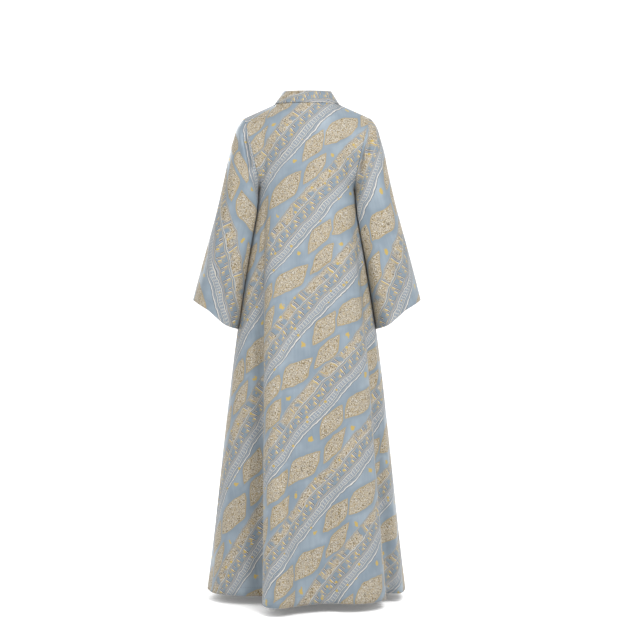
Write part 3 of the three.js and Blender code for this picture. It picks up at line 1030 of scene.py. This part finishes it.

# %% [markdown]
# ## Leaves, dots and satin
# A leaf is two arcs that meet in points. A point lies in it where the leaf's half width, less the distance
# from its middle line, is above zero. Round the figures the satin's warp lies free: a little streaky down
# the cloth and cloudy. Towards each leaf it is painted darker, painted shade that gives it a rounded look.
# Real streaks are one thread wide and are drawn coarser, so that they show.

# %% Leaves, dots and satin
STREAKS = 160  # a metre
STREAK_STRETCH = 0.06  # a streak's width as a share of its length
STREAK_SHOWS = 0.25
CLOUDS = 14  # a metre
TONE = (0.45, 0.8)  # the noise from which the full tone starts and at which it is reached
# painted shade: the satin is painted darker within this distance of a leaf's edge
LEAF_SHADE_REACH = 16 * MM


def leaves(add, s, t):
    """How far inside the nearest leaf a point is, below zero outside of them all."""
    leaf = -REPEAT
    for centre, height, half, width, tilt in LEAVES:
        x, y = from_centre(add, s, t, centre, height, tilt)
        x = add("Math", [y, LEAF_LEAN, x], "MULTIPLY_ADD")
        taper = add("Math", [add("Math", [x], "ABSOLUTE"), half * MM], "DIVIDE")
        taper = add("Math", [taper, LEAF_POINT], "POWER")
        inside = add("Math", [taper, -width * MM, width * MM], "MULTIPLY_ADD")
        inside = add("Math", [inside, add("Math", [y], "ABSOLUTE")], "SUBTRACT")
        leaf = add("Math", [leaf, inside], "MAXIMUM")
    return leaf


def dots(add, s, t, wander):
    """1 inside a dot and 0 elsewhere."""
    dot = 0
    for centre, height, radius in DOTS:
        from_dot = add("CombineXYZ", from_centre(add, s, t, centre, height))
        far = add("VectorMath", [from_dot], "LENGTH", out="Value")
        far = add("Math", [wander, DOT_FRAY, far], "MULTIPLY_ADD")
        near = add("Math", [far, radius * MM + DOT_FRAY / 2], "LESS_THAN")
        dot = add("Math", [dot, near], "MAXIMUM")
    return dot


def satin(add, uv, turned, leaf):
    down_warp = add("Mapping", {"Vector": uv, "Scale": (1, STREAK_STRETCH, 1)})
    streak = add("TexNoise", {"Vector": down_warp, "Scale": STREAKS, "Detail": 2})
    cloud = add("TexNoise", {"Vector": turned, "Scale": CLOUDS, "Detail": 2})
    tone = add("Math", [streak, STREAK_SHOWS, cloud], "MULTIPLY_ADD")
    tone = add("MapRange", {"Value": tone, "From Min": TONE[0], "From Max": TONE[1]})
    # painted shade: towards each leaf's edge the satin's tone is mixed down to SATIN_DEEP, for a rounded
    # look
    rise = {"Value": leaf, "From Min": -LEAF_SHADE_REACH, "From Max": 0, "To Min": 1, "To Max": 0}
    tone = add("Math", [tone, add("MapRange", rise)], "MULTIPLY")
    return add("MixRGB", [tone, linear(SATIN_DEEP), linear(SATIN)])


print("leaves", [2 * half for _, _, half, _, _ in LEAVES], "mm long")

# %% [markdown]
# ## Bands
# Between the stripes of leaves runs a band of thin lines, with two rows of squares and a ladder. Patches of
# wandering floats cover parts of the upper row. Fine threads, pale and dark by turns, run over all but the
# squares, and small gold knots are strewn over the whole.

# %% Bands
PATCHES = 22  # a metre
PATCH = (0.42, 0.5)  # the noise between the squares' bare parts and their covered ones
THREAD_BEND = 5 * MM
THREAD_SHARE = 0.26  # of a step, for the pale thread and again for the dark one
THREAD_TINT = 0.5


def from_band(add, t):
    """The distance across from the middle of a band, which lies halfway between two stripes."""
    return add("Math", [add("Math", [t, STRIPE, 0], "WRAP"), STRIPE / 2], "SUBTRACT")


def bands(add, turned, s, b, wander, floats):
    """A band's colours, by the distance along it and from its middle."""
    level = add("MapRange", {"Value": b, "From Min": -BAND_HALF * MM, "From Max": BAND_HALF * MM})
    band = add("ValToRGB", [level])
    fill_ramp(band, [((edge + BAND_HALF) / 2 / BAND_HALF, colour) for edge, colour in BAND_LINES])
    fills = {"floats": floats}
    for row, step, lines in (("squares", SQUARE_STEP, SQUARE_LINES), ("ladder", LADDER_STEP, LADDER_LINES)):
        steps = add("Math", [s, step * MM], "DIVIDE")
        fills[row] = add("ValToRGB", [add("Math", [steps], "FRACT")])
        fill_ramp(fills[row], lines)
    patchy = add("TexNoise", {"Vector": turned, "Scale": PATCHES, "Detail": 2})
    patchy = add("MapRange", {"Value": patchy, "From Min": PATCH[0], "From Max": PATCH[1]})
    plain_row = 1
    for row, middle, half in STRIPS:
        mask = add("Math", [b, middle * MM, half * MM], "COMPARE")
        if row == "floats":
            mask = add("Math", [mask, patchy], "MULTIPLY")
        band = add("MixRGB", [mask, band, fills[row]])
        if row == "squares":
            plain_row = add("Math", [plain_row, mask], "SUBTRACT")
    bend = add("Math", [wander, THREAD_BEND, b], "MULTIPLY_ADD")
    thread = add("Math", [add("Math", [bend, THREAD_STEP], "DIVIDE")], "FRACT")
    shown = add("Math", [plain_row, THREAD_TINT], "MULTIPLY")
    for limit, test, tint in ((THREAD_SHARE, "LESS_THAN", CREAM), (1 - THREAD_SHARE, "GREATER_THAN", SLATE)):
        drawn = add("Math", [add("Math", [thread, limit], test), shown], "MULTIPLY")
        band = add("MixRGB", [drawn, band, linear(tint)])
    strewn = {"Vector": turned, "Scale": 1 / KNOT_STEP, "Randomness": 1}
    knot = add("TexVoronoi", strewn, out="Distance")
    knot = add("Math", [knot, KNOT_RADIUS / KNOT_STEP], "LESS_THAN")
    return add("MixRGB", [knot, band, linear(YELLOW)])


print("a band is", 2 * BAND_HALF, "mm wide")

# %% [markdown]
# ## The material of a piece
# Every piece has the same brocade, cut from another part of the cloth. The figures are matt and stand up a
# little in loose floats, the satin is smoother, and finished edges are a little worn and paler. The hem,
# the cuffs, the collar's top edge and the neck slit are stitched. Each stitch could be a small piece, but
# there are hundreds, so they are drawn as short dashes that sink in. Real sewing thread is about 0.3 mm
# thick and is drawn coarser, so that it shows.

# %% Brocade as a material
RIM = (0.4, 1.5)  # a leaf's gold rim: its middle inside the leaf's edge and its half width
WORN_EDGE = 3 * MM
WORN_SHARE = 0.25
ROUGHNESS = (0.4, 0.68)  # of the satin and of the figures
RELIEF = 1.2 * MM


def stitch_row(add, along, from_edge, depth):
    """1 on each stitch of a row at a depth from an edge."""
    dash = add("Math", [add("Math", [along, STITCH_STEP * MM], "DIVIDE")], "FRACT")
    dash = add("Math", [dash, STITCH_SHARE], "LESS_THAN")
    on_row = add("Math", [from_edge, depth * MM, STITCH_HALF * MM], "COMPARE")
    return add("Math", [dash, on_row], "MULTIPLY")


def brocade(name, angle, along, across, mirror=False, stitched=HEM_DEPTH, slit=None):
    """Brocade with its stripes at an angle to the panel's width, and a row of stitches near its edge."""
    made = bpy.data.materials.new(name)
    made.use_nodes = True
    made.node_tree.nodes.clear()
    add = partial(add_node, made.node_tree)
    uv = add("UVMap", uv_map="flat lay")
    laid = {"Location": (along, across, 0), "Rotation": (0, 0, -math.radians(angle))}
    turned = add("Mapping", {"Vector": uv, "Scale": (-1 if mirror else 1, 1, 1), **laid})
    s, t = place_in_pattern(add, turned)
    b = from_band(add, t)

    # floats of weft lie close beside each other and wander, like the level lines of a noise
    wander = add("TexNoise", {"Vector": uv, "Scale": 1 / GRAIN, "Detail": 1.5})
    floats = add("ValToRGB", [wander])
    fill_ramp(floats, FLOATS)

    leaf = leaves(add, s, t)
    is_leaf = add("Math", [leaf, 0], "GREATER_THAN")
    is_rim = add("Math", [leaf, RIM[0] * MM, RIM[1] * MM], "COMPARE")
    is_band = add("Math", [b, 0, BAND_HALF * MM], "COMPARE")
    colour = add("MixRGB", [is_leaf, satin(add, uv, turned, leaf), floats])
    colour = add("MixRGB", [is_rim, colour, linear(GOLD)])
    colour = add("MixRGB", [is_band, colour, bands(add, turned, s, b, wander, floats)])
    colour = add("MixRGB", [dots(add, s, t, wander), colour, linear(YELLOW)])

    edge = add("SeparateXYZ", [add("UVMap", uv_map="from the edges")])
    from_hem = edge.node.outputs[1]
    stitch = stitch_row(add, edge, from_hem, stitched)
    if slit is not None:
        flat = add("SeparateXYZ", [uv])
        up = flat.node.outputs[1]
        row = stitch_row(add, up, add("Math", [flat], "ABSOLUTE"), SLIT_STITCH)
        above = add("Math", [up, slit * MM], "GREATER_THAN")
        stitch = add("Math", [row, above, stitch], "MULTIPLY_ADD")
    thread = add("Math", [stitch, THREAD_SHOWS], "MULTIPLY")
    colour = add("MixRGB", [thread, colour, linear(SLATE)])
    worn = {"Value": from_hem, "From Max": WORN_EDGE, "To Min": WORN_SHARE, "To Max": 0}
    colour = add("MixRGB", [add("MapRange", worn), colour, linear(PALE)])

    figure = add("Math", [is_leaf, is_band], "MAXIMUM")
    rough = add("MapRange", {"Value": figure, "To Min": ROUGHNESS[0], "To Max": ROUGHNESS[1]})
    lift = add("Math", [wander, figure], "MULTIPLY")
    lift = add("Math", [stitch, -STITCH_SINKS, lift], "MULTIPLY_ADD")
    bump = add("Bump", {"Strength": 0.6, "Distance": RELIEF, "Height": lift})
    cloth = {
        "Base Color": colour,
        "Roughness": rough,
        "IOR": 1.45,
        "Specular IOR Level": 0.35,
        "Sheen Weight": 0.08,
        "Sheen Roughness": 0.4,
        "Normal": bump,
    }
    add("OutputMaterial", [add("BsdfPrincipled", cloth)])
    return made


slit_top_flat = flats["front"][-1][MIDDLES["front"]]
slit_foot = slit_top_flat.y - SLIT_LENGTH
print("the slit's top is at", [round(v, 1) for v in slit_top_flat], "mm in the front's flat lay")

# %% The brocade of each piece
# angles are in degrees, and the pattern's start along and across its stripes is in metres
brocades = {
    "back": brocade("brocade of the back", angle=46, along=-0.8038, across=-0.861),
    "front": brocade("brocade of the front", angle=46, along=-0.75, across=-0.84, slit=slit_foot),
    "sleeve_left": brocade("brocade of the left sleeve", angle=62, along=0.03, across=-0.05, mirror=True),
    "sleeve_right": brocade("brocade of the right sleeve", angle=54, along=0.06, across=-0.02),
    "collar": brocade("brocade of the collar", angle=14, along=0, across=0.077, stitched=COLLAR_STITCH),
}
print("materials", sorted(m.name for m in brocades.values()))

# %% [markdown]
# ## The five pieces
# Back, sleeves and collar are made straight from their sheets. The front is cut open down the middle of
# its top for the neck slit, whose two edges stay a few millimetres apart at the collar.

# %% Back, sleeves and collar
for name in ("back", "sleeve_left", "sleeve_right", "collar"):
    cloth, _ = sheet_of(name)
    thickness = COLLAR_CLOTH if name == "collar" else CLOTH
    hang(name, cloth, brocades[name], thickness)

# %% Front with its neck slit
SLIT_NEAR = 0.5  # a vertex on the slit is this close to the middle line at most
SLIT_FOOT = 1  # and this far below the slit's end at most
cloth, places = sheet_of("front")
slit_end = worn_point("front", len(cages["front"]) - 1, MIDDLES["front"]).z - SLIT_LENGTH
cloth.verts.ensure_lookup_table()
slit_edges = []
for edge in cloth.edges:
    ends = [places[v.index] for v in edge.verts]
    on_middle = all(across == MIDDLES["front"] for _, across in ends)
    if on_middle and all(v.co.z / MM > slit_end for v in edge.verts):
        slit_edges.append(edge)
bmesh.ops.split_edges(cloth, edges=slit_edges)
for vertex in cloth.verts:
    above = vertex.co.z / MM - slit_end
    if vertex.is_boundary and abs(vertex.co.x) < SLIT_NEAR * MM and above > -SLIT_FOOT:
        side = sum(face.calc_center_median().x for face in vertex.link_faces)
        opening = smooth_step(above / SLIT_LENGTH)
        vertex.co.x = math.copysign(mix(SLIT_HALF_BOTTOM, SLIT_HALF_TOP, opening) * MM, side)
hang("front", cloth, brocades["front"], CLOTH)
print("slit cut along", len(slit_edges), "edges")

# %% [markdown]
# Each piece is a sheet that was cut flat before it was sewn, and its flat size comes from its flat lay. A
# front or back panel is wider at the hem than at the shoulders, so its area is less than its rectangle's.

# %% [markdown]
# ## Floor and light
# The setting is a pale studio: white paper on the floor that runs up into a backdrop, and a bright even
# surround. Three large soft lights, two on the camera's side and one beyond the garment, keep its folds
# soft. Paper in a picture burns out to white, so here it glows a little of itself.

# %% Floor and backdrop
FLOOR_Z = -1.447
FLOOR_REACH = 8
SWEEP_RADIUS = 1.6  # of the curve in which the floor turns up into the backdrop
SWEEP_SEGMENTS = 12
PAPER_GLOW = 0.15


def plain(name, colour, roughness):
    made = bpy.data.materials.new(name)
    made.use_nodes = True
    shader = made.node_tree.nodes["Principled BSDF"]
    shader.inputs["Base Color"].default_value = linear(colour)
    shader.inputs["Roughness"].default_value = roughness
    shader.inputs["Emission Color"].default_value = (1, 1, 1, 1)
    shader.inputs["Emission Strength"].default_value = PAPER_GLOW
    return made


sweep = bmesh.new()
bmesh.ops.create_grid(sweep, x_segments=2, y_segments=2, size=FLOOR_REACH)
bmesh.ops.translate(sweep, verts=sweep.verts, vec=(0, 0, FLOOR_Z))
far_edge = [e for e in sweep.edges if all(v.co.y < -FLOOR_REACH / 2 for v in e.verts)]
raised = bmesh.ops.extrude_edge_only(sweep, edges=far_edge)
raised_verts = [g for g in raised["geom"] if isinstance(g, bmesh.types.BMVert)]
bmesh.ops.translate(sweep, verts=raised_verts, vec=(0, 0, FLOOR_REACH))
bmesh.ops.bevel(
    sweep,
    geom=far_edge,
    offset=SWEEP_RADIUS,
    segments=SWEEP_SEGMENTS,
    profile=0.5,
    affect="EDGES",
    material=-1,
)
sweep_mesh = bpy.data.meshes.new("backdrop")
sweep.to_mesh(sweep_mesh)
sweep.free()
backdrop = bpy.data.objects.new("backdrop", sweep_mesh)
bpy.context.collection.objects.link(backdrop)
sweep_mesh.materials.append(plain("white studio paper", "#fafafa", 0.9))
sweep_mesh.polygons.foreach_set("use_smooth", [True] * len(sweep_mesh.polygons))

# %% Lights
world = bpy.data.worlds.new("studio")
bpy.context.scene.world = world
world.use_nodes = True
world.node_tree.nodes["Background"].inputs["Color"].default_value = (1, 1, 1, 1)
world.node_tree.nodes["Background"].inputs["Strength"].default_value = 1.0


def softbox(name, place, aim, size, power):
    made = bpy.data.objects.new(name, bpy.data.lights.new(name, "AREA"))
    bpy.context.collection.objects.link(made)
    made.data.size = size
    made.data.energy = power
    made.location = place
    made.rotation_euler = (Vector(aim) - Vector(place)).to_track_quat("-Z", "Y").to_euler()


softbox("key", place=(-1.3, 2.5, 1.7), aim=(0, 0, -0.3), size=2.0, power=120)
softbox("fill", place=(2.8, 2.6, 1.0), aim=(0, 0, -0.4), size=2.6, power=42)
softbox("front", place=(1.4, -3.2, 1.2), aim=(0, 0, -0.5), size=2.6, power=70)
bpy.context.scene.view_settings.view_transform = "Standard"
